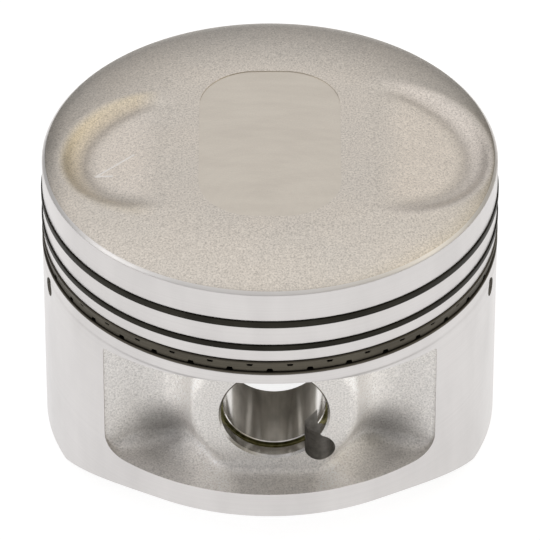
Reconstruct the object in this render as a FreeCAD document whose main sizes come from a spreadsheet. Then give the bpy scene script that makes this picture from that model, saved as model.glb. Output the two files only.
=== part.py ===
"""Four-stroke motorcycle piston with its ring set and the circlip of one boss.

Millimetres.  The origin is on the cylinder axis at the foot of the thrust skirts, +Z runs up to
the crown, the pin axis runs along Y and the thrust faces look along -X and +X.
"""
import FreeCAD, Part
import math
import os

import Sketcher

SIZES = {
    # turned outside
    "skirt_radius": 36.0,
    "land_radius": 35.8,
    "foot_chamfer": 0.6,
    "belt_foot": 32.4,
    "rim_height": 50.0,
    "rim_chamfer": 0.5,
    # crown
    "crown_rise": 2.2,
    "plateau_radius": 20.0,
    "pad_rise": 2.0,
    "pad_half_x": 11.1,
    "pad_half_y": 19.1,
    "pad_corner": 9.0,
    # valve reliefs, each a dish tilted towards the rim
    "relief_tilt": 13.0,
    "relief_wall": 4.0,
    "relief_depth": 2.6,
    "left_relief_radius": 12.9,
    "left_relief_x": 16.5,
    "left_relief_forward": 2.4,
    "left_relief_height": 52.35,
    "right_relief_radius": 15.2,
    "right_relief_x": 16.1,
    "right_relief_forward": 1.0,
    "right_relief_height": 52.5,
    # hollow inside
    "skirt_inner_radius": 33.2,
    "wall_inner_y": 19.4,
    "skirt_hollow_top": 31.4,
    "belt_inner_radius": 28.6,
    "belt_hollow_foot": 35.6,
    "crown_underside": 45.0,
    "underside_corner": 5.0,
    # pocket beside each boss
    "pocket_half_x": 26.0,
    "pocket_wall_y": 22.0,
    "pocket_foot": 10.35,
    "pocket_corner": 3.0,
    "pocket_top_sag": 1.5,
    "flank_start_x": 15.0,
    "flank_reach": 2.6,
    # pin boss
    "boss_half_x": 13.0,
    "boss_inner_y": 14.2,
    "boss_face_y": 30.0,
    "boss_top": 45.5,
    "boss_corner": 11.0,
    # pin bore, moved a little towards one thrust face
    "pin_height": 21.6,
    "pin_offset": 0.7,
    "pin_radius": 8.0,
    "entry_radius": 8.35,
    "entry_chamfer": 0.35,
    "clip_groove_y": 26.85,
    "clip_groove_width": 1.0,
    "clip_groove_radius": 8.75,
    "notch_radius": 2.4,
    "notch_distance": 9.76,
    "notch_angle": 43.0,
    "notch_depth": 7.0,
    # arched lower edge under the bosses
    "arch_height": 6.0,
    "arch_flat_x": 17.0,
    "arch_foot_x": 33.5,
    # oil return holes
    "oil_hole_radius": 1.5,
    "oil_hole_height": 30.8,
    "oil_hole_angle": 15.0,
    # ring grooves
    "groove_root": 32.6,
    "groove_play": 0.03,
    "ring_radius": 36.02,
    "ring_inner_radius": 33.1,
    "top_ring_foot": 43.335,
    "top_ring_thick": 1.2,
    "second_ring_foot": 38.935,
    "second_ring_thick": 1.0,
    "oil_ring_foot": 34.235,
    "oil_ring_thick": 2.5,
    "rail_thick": 0.45,
    "rail_play": 0.02,
    "expander_outer_radius": 35.7,
    "expander_inner_radius": 33.3,
    "expander_web": 0.5,
    "expander_slots": 36,
    "slot_half_width": 0.45,
    # turns of the ring gaps round to the far side
    "ring_sweep": 359.5,
    "top_ring_turn": 50.0,
    "second_ring_turn": 130.0,
    "upper_rail_turn": 72.0,
    "expander_turn": 90.0,
    "lower_rail_turn": 108.0,
    # circlip
    "clip_wire_radius": 0.48,
    "clip_outer_radius": 8.73,
    "clip_sweep": 300.0,
}

LAND_BREAK = 0.08
OIL_LAND_BREAK = 0.15
OVERRUN = 5.0


class Size:
    """A length that carries its value together with its formula for the sizes sheet."""

    def __init__(self, value, formula):
        self.value = value
        self.formula = formula

    def join(self, other, sign, value):
        return Size(value, "(" + self.formula + " " + sign + " " + as_size(other).formula + ")")

    def __add__(self, other):
        return self.join(other, "+", self.value + as_size(other).value)

    def __sub__(self, other):
        return self.join(other, "-", self.value - as_size(other).value)

    def __mul__(self, other):
        return self.join(other, "*", self.value * as_size(other).value)

    def __truediv__(self, other):
        return self.join(other, "/", self.value / as_size(other).value)

    def __neg__(self):
        return Size(-self.value, "(0 - " + self.formula + ")")


def as_size(number):
    if isinstance(number, Size):
        return number
    return Size(float(number), repr(float(number)))


def size(name):
    return Size(SIZES[name], "sizes." + name)


def cosine(angle):
    """The sheet's cosine of an angle in degrees."""
    return Size(math.cos(math.radians(angle.value)), "cos(" + angle.formula + ")")


def sine(angle):
    return Size(math.sin(math.radians(angle.value)), "sin(" + angle.formula + ")")


def arc_radius(half_chord, rise):
    """Radius of an arc that leaves a straight line smoothly and drops by rise over half_chord."""
    return (half_chord * half_chord + rise * rise) / (rise * 2)


def make_sheet(doc):
    sheet = doc.addObject("Spreadsheet::Sheet", "sizes")
    for row, (name, value) in enumerate(SIZES.items(), start=1):
        sheet.set("A" + str(row), name)
        sheet.set("B" + str(row), str(value))
        sheet.setAlias("B" + str(row), name)
    doc.recompute()


def make_body(doc, label):
    body = doc.addObject("PartDesign::Body", label)
    body.Label = label
    return body


def origin_plane(body, role):
    for feature in body.Origin.OriginFeatures:
        if feature.Role == role:
            return feature
    raise ValueError(role)


def make_sketch(body, name, role, shift=(0, 0, 0), turn=None):
    """A sketch on one of the body's origin planes; turn is (axis letter, angle)."""
    sketch = body.newObject("Sketcher::SketchObject", name)
    sketch.AttachmentSupport = [(origin_plane(body, role), "")]
    sketch.MapMode = "FlatFace"
    shift = [as_size(part) for part in shift]
    rotation = FreeCAD.Rotation()
    if turn is not None:
        directions = {"y": FreeCAD.Vector(0, 1, 0), "z": FreeCAD.Vector(0, 0, 1)}
        rotation = FreeCAD.Rotation(directions[turn[0]], as_size(turn[1]).value)
    base = FreeCAD.Vector(*[part.value for part in shift])
    sketch.AttachmentOffset = FreeCAD.Placement(base, rotation)
    for letter, part in zip("xyz", shift):
        if part.value:
            sketch.setExpression("AttachmentOffset.Base." + letter, part.formula)
    if turn is not None:
        sketch.setExpression("AttachmentOffset.Rotation.Angle", as_size(turn[1]).formula)
    return sketch


def pin_coordinate(sketch, kind, axis, geometry, end, value):
    """Tie one coordinate of a point to the sheet, or to the sketch axis where it is zero."""
    if abs(value.value) < 1e-9:
        sketch.addConstraint(Sketcher.Constraint("PointOnObject", geometry, end, axis))
        return
    index = sketch.addConstraint(Sketcher.Constraint(kind, -1, 1, geometry, end, value.value))
    sketch.setExpression("Constraints[" + str(index) + "]", value.formula)


def outline(sketch, path):
    """Close a path of (x, y) corners.  A corner (x, y, radius, side) starts an arc to the next
    corner, with its centre on the left of the way for side 1 and on the right for side -1."""
    corners = [(as_size(corner[0]), as_size(corner[1])) for corner in path]
    ends = []
    for number, corner in enumerate(path):
        start = FreeCAD.Vector(corners[number][0].value, corners[number][1].value, 0)
        x_next, y_next = corners[(number + 1) % len(path)]
        finish = FreeCAD.Vector(x_next.value, y_next.value, 0)
        if len(corner) == 2:
            ends.append((sketch.addGeometry(Part.LineSegment(start, finish)), 1, 2))
            continue
        radius = as_size(corner[2])
        chord = finish - start
        left = FreeCAD.Vector(-chord.y, chord.x, 0).normalize()
        reach = math.sqrt(radius.value ** 2 - (chord.Length / 2) ** 2)
        centre = start + chord * 0.5 + left * (reach * corner[3])
        first, last = (start, finish) if corner[3] > 0 else (finish, start)
        first_angle = math.atan2(first.y - centre.y, first.x - centre.x)
        last_angle = math.atan2(last.y - centre.y, last.x - centre.x)
        circle = Part.Circle(centre, FreeCAD.Vector(0, 0, 1), radius.value)
        index = sketch.addGeometry(Part.ArcOfCircle(circle, first_angle, last_angle))
        ends.append((index, 1, 2) if corner[3] > 0 else (index, 2, 1))
        bound = sketch.addConstraint(Sketcher.Constraint("Radius", index, radius.value))
        sketch.setExpression("Constraints[" + str(bound) + "]", radius.formula)
    for number, (index, begin, _) in enumerate(ends):
        before, _, finish = ends[number - 1]
        sketch.addConstraint(Sketcher.Constraint("Coincident", before, finish, index, begin))
        pin_coordinate(sketch, "DistanceX", -2, index, begin, corners[number][0])
        pin_coordinate(sketch, "DistanceY", -1, index, begin, corners[number][1])


def circle_at(sketch, x, y, radius):
    x, y, radius = as_size(x), as_size(y), as_size(radius)
    centre = FreeCAD.Vector(x.value, y.value, 0)
    index = sketch.addGeometry(Part.Circle(centre, FreeCAD.Vector(0, 0, 1), radius.value))
    bound = sketch.addConstraint(Sketcher.Constraint("Radius", index, radius.value))
    sketch.setExpression("Constraints[" + str(bound) + "]", radius.formula)
    pin_coordinate(sketch, "DistanceX", -2, index, 3, x)
    pin_coordinate(sketch, "DistanceY", -1, index, 3, y)


def extrude(body, kind, name, sketch, length, both_ways=False, backwards=False):
    """A Pad or Pocket of the sketch; its length is bound to the sheet."""
    feature = body.newObject("PartDesign::" + kind, name)
    feature.Profile = sketch
    length = as_size(length)
    feature.Length = length.value
    feature.setExpression("Length", length.formula)
    feature.Midplane = both_ways
    feature.Reversed = backwards
    return feature


def turn(body, kind, name, sketch, axis="V_Axis", sweep=None, both_ways=False):
    """A Revolution or Groove of the sketch about one of its own axes."""
    feature = body.newObject("PartDesign::" + kind, name)
    feature.Profile = sketch
    feature.ReferenceAxis = (sketch, [axis])
    feature.Midplane = both_ways
    if sweep is None:
        feature.Angle = 360
    else:
        feature.Angle = sweep.value
        feature.setExpression("Angle", sweep.formula)
    return feature


def mirror(body, name, feature):
    """The same feature again on the far side of the XZ plane."""
    copy = body.newObject("PartDesign::Mirrored", name)
    copy.Originals = [feature]
    copy.MirrorPlane = (origin_plane(body, "XZ_Plane"), [""])
    body.Tip = copy
    return copy


def repeat_round(body, name, feature, count):
    """The same feature repeated evenly about the cylinder axis."""
    pattern = body.newObject("PartDesign::PolarPattern", name)
    pattern.Originals = [feature]
    for axis in body.Origin.OriginFeatures:
        if axis.Role == "Z_Axis":
            pattern.Axis = (axis, [""])
    pattern.Angle = 360
    pattern.Occurrences = int(count.value)
    pattern.setExpression("Occurrences", count.formula)
    body.Tip = pattern
    return pattern


def rounded_slab(half_x, foot, top, corner, centre):
    """Corners of an upright block whose two lower corners are rounded."""
    left, right = centre - half_x, centre + half_x
    return [
        (left + corner, foot),
        (right - corner, foot, corner, 1),
        (right, foot + corner),
        (right, top),
        (left, top),
        (left, foot + corner, corner, 1),
    ]


def waisted_circle(radius, half_y):
    """A round hollow with its two Y sides cut off straight."""
    half_x = Size(
        math.sqrt(radius.value ** 2 - half_y.value ** 2),
        "sqrt(" + (radius * radius - half_y * half_y).formula + ")",
    )
    return [
        (half_x, -half_y, radius, 1),
        (half_x, half_y),
        (-half_x, half_y, radius, 1),
        (-half_x, -half_y),
    ]


def turned_outside(body):
    """The crown, lands and skirt as one turned blank, before its grooves are cut."""
    rim = size("rim_height")
    skirt, land = size("skirt_radius"), size("land_radius")
    plateau, rise = size("plateau_radius"), size("crown_rise")
    chamfer, foot_chamfer = size("rim_chamfer"), size("foot_chamfer")
    crown_edge = land - chamfer
    step = skirt - land
    sketch = make_sketch(body, "outside_profile", "XZ_Plane")
    outline(sketch, [
        (0, 0),
        (skirt - foot_chamfer, 0),
        (skirt, foot_chamfer),
        (skirt, size("belt_foot") - step),
        (land, size("belt_foot")),
        (land, rim - chamfer),
        (crown_edge, rim, arc_radius(crown_edge - plateau, rise), 1),
        (plateau, rim + rise),
        (0, rim + rise),
    ])
    turn(body, "Revolution", "turned_blank", sketch)


def inner_hollow(body):
    """The hollow open at the foot: wide in the skirt, narrower behind the ring belt."""
    skirt_sketch = make_sketch(body, "skirt_hollow_outline", "XY_Plane")
    outline(skirt_sketch, waisted_circle(size("skirt_inner_radius"), size("wall_inner_y")))
    extrude(body, "Pocket", "skirt_hollow", skirt_sketch, size("skirt_hollow_top"), backwards=True)

    underside, corner = size("crown_underside"), size("underside_corner")
    belt_radius = size("belt_inner_radius")
    belt_sketch = make_sketch(body, "belt_hollow_outline", "XY_Plane")
    outline(belt_sketch, waisted_circle(belt_radius, size("wall_inner_y")))
    extrude(body, "Pocket", "belt_hollow", belt_sketch, underside - corner, backwards=True)

    crown_sketch = make_sketch(body, "crown_hollow_profile", "XZ_Plane")
    outline(crown_sketch, [
        (0, size("belt_hollow_foot")),
        (belt_radius, size("belt_hollow_foot")),
        (belt_radius, underside - corner, corner, 1),
        (belt_radius - corner, underside),
        (0, underside),
    ])
    turn(body, "Groove", "crown_hollow", crown_sketch)


def side_pockets(body):
    """The cast recess in the skirt at each end of the pin, slightly arched at its top."""
    half_x, corner = size("pocket_half_x"), size("pocket_corner")
    foot, sag = size("pocket_foot"), size("pocket_top_sag")
    shoulder = size("belt_foot") - sag
    sketch = make_sketch(body, "side_pocket_outline", "XZ_Plane", (0, 0, size("pocket_wall_y")))
    outline(sketch, [
        (-half_x + corner, foot),
        (half_x - corner, foot, corner, 1),
        (half_x, foot + corner),
        (half_x, shoulder, arc_radius(half_x, sag), 1),
        (-half_x, shoulder),
        (-half_x, foot + corner, corner, 1),
    ])
    depth = size("skirt_radius") - size("pocket_wall_y") + OVERRUN
    pocket = extrude(body, "Pocket", "side_pocket", sketch, depth, backwards=True)
    mirror(body, "far_side_pocket", pocket)


def pocket_flanks(body):
    """Bring the wall of each recess forward towards its two ends, nearly out to the skirt."""
    start, end = size("flank_start_x"), size("pocket_half_x")
    wall = -size("pocket_wall_y")
    sketch = make_sketch(body, "pocket_flank_outline", "XY_Plane", (0, 0, size("pocket_foot")))
    for side in (-1, 1):
        outline(sketch, [
            (start * side, wall),
            (end * side, wall),
            (end * side, wall - size("flank_reach")),
        ])
    height = size("belt_foot") - size("pocket_foot")
    flank = extrude(body, "Pad", "pocket_flank", sketch, height)
    mirror(body, "far_pocket_flank", flank)


def pin_bosses(body):
    sketch = make_sketch(body, "boss_outline", "XZ_Plane", (0, 0, size("boss_inner_y")))
    outline(sketch, rounded_slab(size("boss_half_x"), size("pocket_foot"), size("boss_top"),
                                 size("boss_corner"), size("pin_offset")))
    boss = extrude(body, "Pad", "boss", sketch, size("boss_face_y") - size("boss_inner_y"))
    mirror(body, "far_boss", boss)


def pin_bore(body):
    """The bore with a wider entry, a circlip groove and a chamfer at both ends."""
    face, chamfer = size("boss_face_y"), size("entry_chamfer")
    pin, entry = size("pin_radius"), size("entry_radius")
    groove, root = size("clip_groove_y"), size("clip_groove_radius")
    groove_end = groove + size("clip_groove_width")
    half = [
        (groove, pin),
        (groove, root),
        (groove_end, root),
        (groove_end, entry),
        (face - chamfer, entry),
        (face, entry + chamfer),
        (face + OVERRUN, entry + chamfer),
        (face + OVERRUN, 0),
    ]
    other_half = [(-y, radius) for y, radius in reversed(half)]
    shift = (0, size("pin_height"), size("pin_offset"))
    sketch = make_sketch(body, "pin_bore_profile", "YZ_Plane", shift)
    outline(sketch, other_half + half)
    turn(body, "Groove", "pin_bore", sketch, axis="H_Axis")


def clip_notches(body):
    """The drilled notch that lets a pick reach behind each circlip."""
    distance, angle = size("notch_distance"), size("notch_angle")
    notch_x = size("pin_offset") + distance * cosine(angle)
    notch_height = size("pin_height") - distance * sine(angle)
    sketch = make_sketch(body, "clip_notch_outline", "XZ_Plane", (0, 0, size("boss_face_y")))
    circle_at(sketch, notch_x, notch_height, size("notch_radius"))
    notch = extrude(body, "Pocket", "clip_notch", sketch, size("notch_depth"))
    mirror(body, "far_clip_notch", notch)


def oil_holes(body):
    """Two drillings right across the hollow, which open as four holes under the belt."""
    angle = size("oil_hole_angle")
    for name, side in (("first", angle), ("second", -angle)):
        sketch = make_sketch(body, name + "_oil_hole_outline", "YZ_Plane", turn=("y", side))
        circle_at(sketch, 0, size("oil_hole_height"), size("oil_hole_radius"))
        length = size("skirt_radius") * 2 + OVERRUN
        extrude(body, "Pocket", name + "_oil_holes", sketch, length, both_ways=True)


def ring_groove(body, name, foot, thick, edge_break):
    """One ring groove with its two outer corners broken."""
    land, root = size("land_radius"), size("groove_root")
    top = foot + thick + size("groove_play") / 2
    bottom = foot - size("groove_play") / 2
    sketch = make_sketch(body, name + "_groove_profile", "XZ_Plane")
    outline(sketch, [
        (root, bottom),
        (land - edge_break, bottom),
        (land, bottom - edge_break),
        (land + OVERRUN, bottom - edge_break),
        (land + OVERRUN, top + edge_break),
        (land, top + edge_break),
        (land - edge_break, top),
        (root, top),
    ])
    turn(body, "Groove", name + "_groove", sketch)


def lower_arch(body):
    """Lift the lower edge under the bosses, so that the piston stands on its thrust skirts."""
    flat, foot, height = size("arch_flat_x"), size("arch_foot_x"), size("arch_height")
    radius = arc_radius(foot - flat, height)
    sketch = make_sketch(body, "lower_arch_outline", "XZ_Plane")
    outline(sketch, [
        (-foot, 0, radius, -1),
        (-flat, height),
        (flat, height, radius, -1),
        (foot, 0),
        (foot, -OVERRUN),
        (-foot, -OVERRUN),
    ])
    length = size("skirt_radius") * 2 + OVERRUN
    extrude(body, "Pocket", "lower_arch", sketch, length, both_ways=True)


def crown_pad(body):
    """The milled flat in the middle of the cast crown."""
    half_x, half_y, corner = size("pad_half_x"), size("pad_half_y"), size("pad_corner")
    sketch = make_sketch(body, "crown_pad_outline", "XY_Plane",
                         (0, 0, size("rim_height") + size("pad_rise")))
    outline(sketch, [
        (-half_x + corner, -half_y),
        (half_x - corner, -half_y, corner, 1),
        (half_x, -half_y + corner),
        (half_x, half_y - corner, corner, 1),
        (half_x - corner, half_y),
        (-half_x + corner, half_y, corner, 1),
        (-half_x, half_y - corner),
        (-half_x, -half_y + corner, corner, 1),
    ])
    extrude(body, "Pocket", "crown_pad", sketch, OVERRUN, backwards=True)


def valve_relief(body, side, direction):
    """A dish cut into the crown, deepest towards the rim and set a little towards -Y."""
    radius, wall, depth = size(side + "_relief_radius"), size("relief_wall"), size("relief_depth")
    shift = (size(side + "_relief_x") * direction, size(side + "_relief_height"),
             size(side + "_relief_forward"))
    tilt = size("relief_tilt") * -direction
    sketch = make_sketch(body, side + "_relief_profile", "XZ_Plane", shift, ("z", tilt))
    outline(sketch, [
        (0, 0),
        (radius, 0, arc_radius(wall, depth), 1),
        (radius + wall, depth),
        (radius + wall, depth + OVERRUN),
        (0, depth + OVERRUN),
    ])
    turn(body, "Groove", side + "_relief", sketch)


def make_piston(doc):
    body = make_body(doc, "piston")
    turned_outside(body)
    inner_hollow(body)
    side_pockets(body)
    pocket_flanks(body)
    pin_bosses(body)
    crown_pad(body)
    valve_relief(body, "left", -1)
    valve_relief(body, "right", 1)
    ring_groove(body, "top_ring", size("top_ring_foot"), size("top_ring_thick"), LAND_BREAK)
    ring_groove(body, "second_ring", size("second_ring_foot"), size("second_ring_thick"),
                LAND_BREAK)
    ring_groove(body, "oil_ring", size("oil_ring_foot"), size("oil_ring_thick"), OIL_LAND_BREAK)
    lower_arch(body)
    pin_bore(body)
    clip_notches(body)
    oil_holes(body)
    return body


def turn_gap(body, turn_name):
    """Turn a ring about the cylinder axis, so that its gap lies where the sheet says."""
    body.Placement = FreeCAD.Placement(
        FreeCAD.Vector(), FreeCAD.Rotation(FreeCAD.Vector(0, 0, 1), SIZES[turn_name]))
    body.setExpression("Placement.Rotation.Angle", "sizes." + turn_name)


def make_ring(doc, label, turn_name, foot, thick, inner, outer, edge_break):
    """A split ring of rectangular section with its outer corners broken."""
    body = make_body(doc, label)
    sketch = make_sketch(body, label + "_section", "XZ_Plane")
    top = foot + thick
    outline(sketch, [
        (inner, foot),
        (outer - edge_break, foot),
        (outer, foot + edge_break),
        (outer, top - edge_break),
        (outer - edge_break, top),
        (inner, top),
    ])
    turn(body, "Revolution", label + "_turning", sketch, sweep=size("ring_sweep"))
    turn_gap(body, turn_name)
    return body


def make_expander(doc, foot, thick):
    """The spacer of the oil ring: a band crenellated from above and from below by turns."""
    label = "oil_ring_expander"
    body = make_ring(doc, label, "expander_turn", foot, thick, size("expander_inner_radius"),
                     size("expander_outer_radius"), 0.1)
    web = size("expander_web") / 2
    middle = foot + thick / 2
    half_width = size("slot_half_width")
    half_pitch = as_size(180) / size("expander_slots")
    inner = size("expander_inner_radius") - 1
    outer = size("expander_outer_radius") + 1
    for name, level, angle, upwards in (
        ("upper", middle + web, half_pitch, True),
        ("lower", middle - web, half_pitch * 2, False),
    ):
        sketch = make_sketch(body, name + "_slot_outline", "XY_Plane", (0, 0, level), ("z", angle))
        outline(sketch, [
            (inner, -half_width),
            (outer, -half_width),
            (outer, half_width),
            (inner, half_width),
        ])
        slot = extrude(body, "Pocket", name + "_slot", sketch, thick, backwards=upwards)
        repeat_round(body, name + "_slots", slot, size("expander_slots"))
    return body


def make_circlip(doc):
    """The round-wire circlip in the groove of the far boss, its opening at the top."""
    body = make_body(doc, "circlip")
    wire = size("clip_wire_radius")
    shift = (0, size("pin_height"), size("pin_offset"))
    sketch = make_sketch(body, "circlip_section", "YZ_Plane", shift)
    groove_middle = size("clip_groove_y") + size("clip_groove_width") / 2
    circle_at(sketch, groove_middle, wire - size("clip_outer_radius"), wire)
    turn(body, "Revolution", "circlip_bend", sketch, axis="H_Axis", sweep=size("clip_sweep"),
         both_ways=True)
    return body


def make_ring_set(doc):
    outer, inner = size("ring_radius"), size("ring_inner_radius")
    rail, play = size("rail_thick"), size("rail_play")
    oil_foot, oil_thick = size("oil_ring_foot"), size("oil_ring_thick")
    upper_foot = oil_foot + oil_thick - rail
    return [
        make_ring(doc, "top_ring", "top_ring_turn", size("top_ring_foot"),
                  size("top_ring_thick"), inner, outer, 0.12),
        make_ring(doc, "second_ring", "second_ring_turn", size("second_ring_foot"),
                  size("second_ring_thick"), inner, outer, 0.08),
        make_ring(doc, "oil_ring_upper_rail", "upper_rail_turn", upper_foot, rail, inner, outer,
                  0.12),
        make_expander(doc, oil_foot + rail + play, oil_thick - rail * 2 - play * 2),
        make_ring(doc, "oil_ring_lower_rail", "lower_rail_turn", oil_foot, rail, inner, outer,
                  0.12),
    ]


def check(doc):
    """Stop on a feature that failed to build."""
    for feature in doc.Objects:
        if "Invalid" in feature.State or "Error" in feature.State:
            raise RuntimeError(feature.Name + " is in error")


def main():
    doc = FreeCAD.newDocument("piston_assembly")
    make_sheet(doc)
    bodies = [make_piston(doc)] + make_ring_set(doc) + [make_circlip(doc)]
    doc.recompute()
    check(doc)
    os.makedirs("parts", exist_ok=True)
    for body in bodies:
        shape = body.Shape
        if shape.isNull() or not shape.isValid():
            raise RuntimeError(body.Label + " has no valid shape")
        print(body.Label, "solids", len(shape.Solids), "volume", round(shape.Volume, 1))
        shape.exportStep("parts/" + body.Label + ".step")


main()
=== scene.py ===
import math

import bpy
import numpy as np
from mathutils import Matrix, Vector


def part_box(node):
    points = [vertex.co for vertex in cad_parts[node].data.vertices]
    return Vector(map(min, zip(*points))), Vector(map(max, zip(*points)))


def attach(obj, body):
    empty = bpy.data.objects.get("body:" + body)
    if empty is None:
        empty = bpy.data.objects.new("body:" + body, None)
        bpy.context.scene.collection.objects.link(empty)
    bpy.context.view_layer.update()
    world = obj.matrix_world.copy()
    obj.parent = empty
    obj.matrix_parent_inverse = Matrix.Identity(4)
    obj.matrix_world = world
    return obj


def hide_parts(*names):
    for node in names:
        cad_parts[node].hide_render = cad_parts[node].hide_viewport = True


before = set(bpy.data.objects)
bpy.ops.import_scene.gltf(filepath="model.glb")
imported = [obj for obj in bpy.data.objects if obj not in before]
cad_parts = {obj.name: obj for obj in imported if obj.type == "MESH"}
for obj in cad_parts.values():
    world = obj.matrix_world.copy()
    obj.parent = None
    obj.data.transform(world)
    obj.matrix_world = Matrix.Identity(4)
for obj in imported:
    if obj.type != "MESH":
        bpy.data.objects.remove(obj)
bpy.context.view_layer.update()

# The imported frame, in metres.  Everything below is worked out in millimetres and scaled once.
MM = 0.001
piston_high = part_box("piston")[1]

SKIRT = round(piston_high.x / MM, 2)
LAND = SKIRT - 0.2
CROWN_TOP = piston_high.z / MM
CROWN_RISE = 2.2
RIM = CROWN_TOP - CROWN_RISE
RIM_CHAMFER = 0.5
BELT_FOOT = RIM - 17.6
FOOT_CHAMFER = 0.6

# Crown: flat middle, rolled edge, milled pad and the two strokes of the engraved mark.
PLATEAU = 20.0
LIP = 32.8
LIP_DROP = 0.3
PAD_HALF_X = 11.1
PAD_HALF_Y = 19.1
PAD_CORNER = 9.0
PAD_DEPTH = 0.1
MARK_TIP = (-27.3, -6.0)
MARK_ENDS = ((-21.2, -1.95), (-24.5, -6.65))
MARK_WIDTH = 0.5
MARK_DEPTH = 0.1

# Ring grooves: foot, thickness of the ring and width of the broken outer corners.
TOP_GROOVE = (RIM - 6.665, 1.2, 0.08)
SECOND_GROOVE = (RIM - 11.065, 1.0, 0.08)
OIL_GROOVE = (RIM - 15.765, 2.5, 0.15)
GROOVE_PLAY = 0.015
GROOVE_ROOT = 32.6

# Rings, closed up as in the cylinder.  The turns place their gaps, in degrees from +X.
RING_OUTER = SKIRT + 0.02
RING_INNER = 33.1
RING_SWEEP = 359.5
TOP_RING_TURN = 50.0
SECOND_RING_TURN = 130.0
UPPER_RAIL_TURN = 72.0
LOWER_RAIL_TURN = 108.0
EXPANDER_TURN = 90.0
RAIL_THICK = 0.45
RAIL_PLAY = 0.02
EXPANDER_INNER = 33.3
EXPANDER_OUTER = 35.7
EXPANDER_PITCH = 10.0
EXPANDER_SLOT = (0.6, 0.9)
EXPANDER_WEB = 0.5

# Pin bore, seen along Y.
PIN_X = 0.7
PIN_Z = 21.6
PIN_RADIUS = 8.0
ENTRY_RADIUS = 8.35
ENTRY_CHAMFER = 0.35
BOSS_FACE = 30.0
BOSS_INNER = 14.2
BOSS_RADIUS = 13.0
CLIP_GROOVE = 26.85
CLIP_GROOVE_WIDTH = 1.0
CLIP_GROOVE_RADIUS = 8.75
CLIP_WIRE_RADIUS = 0.48
CLIP_HALF_SWEEP = 150
NOTCH_RADIUS = 2.4
NOTCH_OFFSET = 9.76
NOTCH_ANGLE = 43.0
NOTCH_END = 23.0

# Oil holes under the belt, at these angles from +X, and the lifted lower edge.
OIL_HOLE_ANGLES = (15, -15, 165, -165)
OIL_HOLE_RADIUS = 1.5
OIL_HOLE_HEIGHT = 30.8
OIL_HOLE_START = 38.0
OIL_HOLE_LENGTH = 12.0
ARCH_FLAT = 17.0
ARCH_FOOT = 33.5
ARCH_HEIGHT = 6.0

# Side recesses and the hollow.  Rib ends are counted sideways from the pin, outward from the
# middle and up from the ledge.
RECESS_HALF_X = 26.0
RECESS_FOOT = 10.35
RECESS_WALL = 22.0
RECESS_TOP_SAG = 1.5
RECESS_CORNER = 3.4
RECESS_REACH = 42.0
RECESS_BOX = ((-27.0, 15.0, 8.5), (27.0, 43.0, 33.5))
RECESS_STEP = 0.33
LEDGE_SLOPE = 0.02
BOSS_FILLET = 8.0
BOSS_EDGE = 2.0
BOSS_DRAFT = 0.10
RIB_ENDS = ((13.2, 24.5, -0.5), (11.2, 30.5, -2.4))
RIB_RADIUS = 1.7
RIB_FILLET = 4.0
FLANK_START = 15.0
FLANK_REACH = 2.6
FLANK_SLOPE = FLANK_REACH / (RECESS_HALF_X - FLANK_START)
SKIRT_INNER = 33.2
BELT_INNER = 28.6
WALL_INNER = 19.4
BELT_STEP = (28.5, 33.0)
UNDERSIDE = RIM - 5.0
UNDERSIDE_CURVE = 0.002
HOLLOW_BOX = ((-35.0, -21.0, -3.0), (35.0, 21.0, 47.0))
HOLLOW_STEP = 0.6

# Painting masks: distances are shares of MASK_REACH, in metres, and the patch of painted shade in
# each corner of a recess is an ellipsoid, counted out from the pin's plane and from the middle.
MASK_REACH = 0.04
PAINTED_SHADE_CENTRE = (17.6, 23.0, 14.2)
PAINTED_SHADE_REACH = (6.9, 6.67, 5.88)

# Cutters that come in from outside start this far from the middle.
OUTSIDE = 40.0

ROUND_SEGMENTS = 600
BORE_SEGMENTS = 256
PEG_SEGMENTS = 96
EXPANDER_SEGMENTS = 2160
CORNER_STEPS = 4
PAD_CORNER_STEPS = 20

# Camera: distance in piston radii, degrees above the floor, millimetres for the rest.
CAMERA_DISTANCE = 27.0
CAMERA_ELEVATION = 37.61
CAMERA_LENS = 407.2
AIM_BELOW_RIM = 23.06
AIM_RIGHT = 0.02

SLOTS = ("cast_crown", "turned", "groove", "milled", "bore", "entry", "clip_groove", "notch",
         "recess", "hollow", "mark", "rim_edge_highlight")


# ---------------------------------------- distances to the metal

def soft_union(first, second, blend):
    """The smaller of two distances, rounded off over the blend length."""
    share = np.clip(0.5 + 0.5 * (second - first) / blend, 0, 1)
    return second + (first - second) * share - blend * share * (1 - share)


def soft_common(first, second, blend):
    """The larger of two distances, rounded off over the blend length."""
    return -soft_union(-first, -second, blend)


def smooth_step(value, low, high):
    share = np.clip((value - low) / (high - low), 0, 1)
    return share * share * (3 - 2 * share)


def waves(x, y, z, length, seed):
    """Low, repeatable unevenness between -1 and 1, for surfaces that were cast."""
    rng = np.random.default_rng(seed)
    total = np.zeros(np.broadcast(x, y, z).shape)
    for _ in range(7):
        direction = rng.normal(size=3)
        direction *= 2 * math.pi / (length * np.linalg.norm(direction) * rng.uniform(0.6, 1.6))
        phase = rng.uniform(0, 2 * math.pi)
        total += np.sin(direction[0] * x + direction[1] * y + direction[2] * z + phase)
    return total / 7


# ---------------------------------------- crown

RELIEF_TILT = math.tan(math.radians(13.0))
RELIEFS = (
    # centre x and y, floor height at the centre, floor radius, how slowly the wall climbs, side
    (-16.5, -2.4, 52.35, 11.9, 10.0, -1),
    (16.1, -1.0, 52.5, 14.6, 9.0, 1),
)


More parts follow.
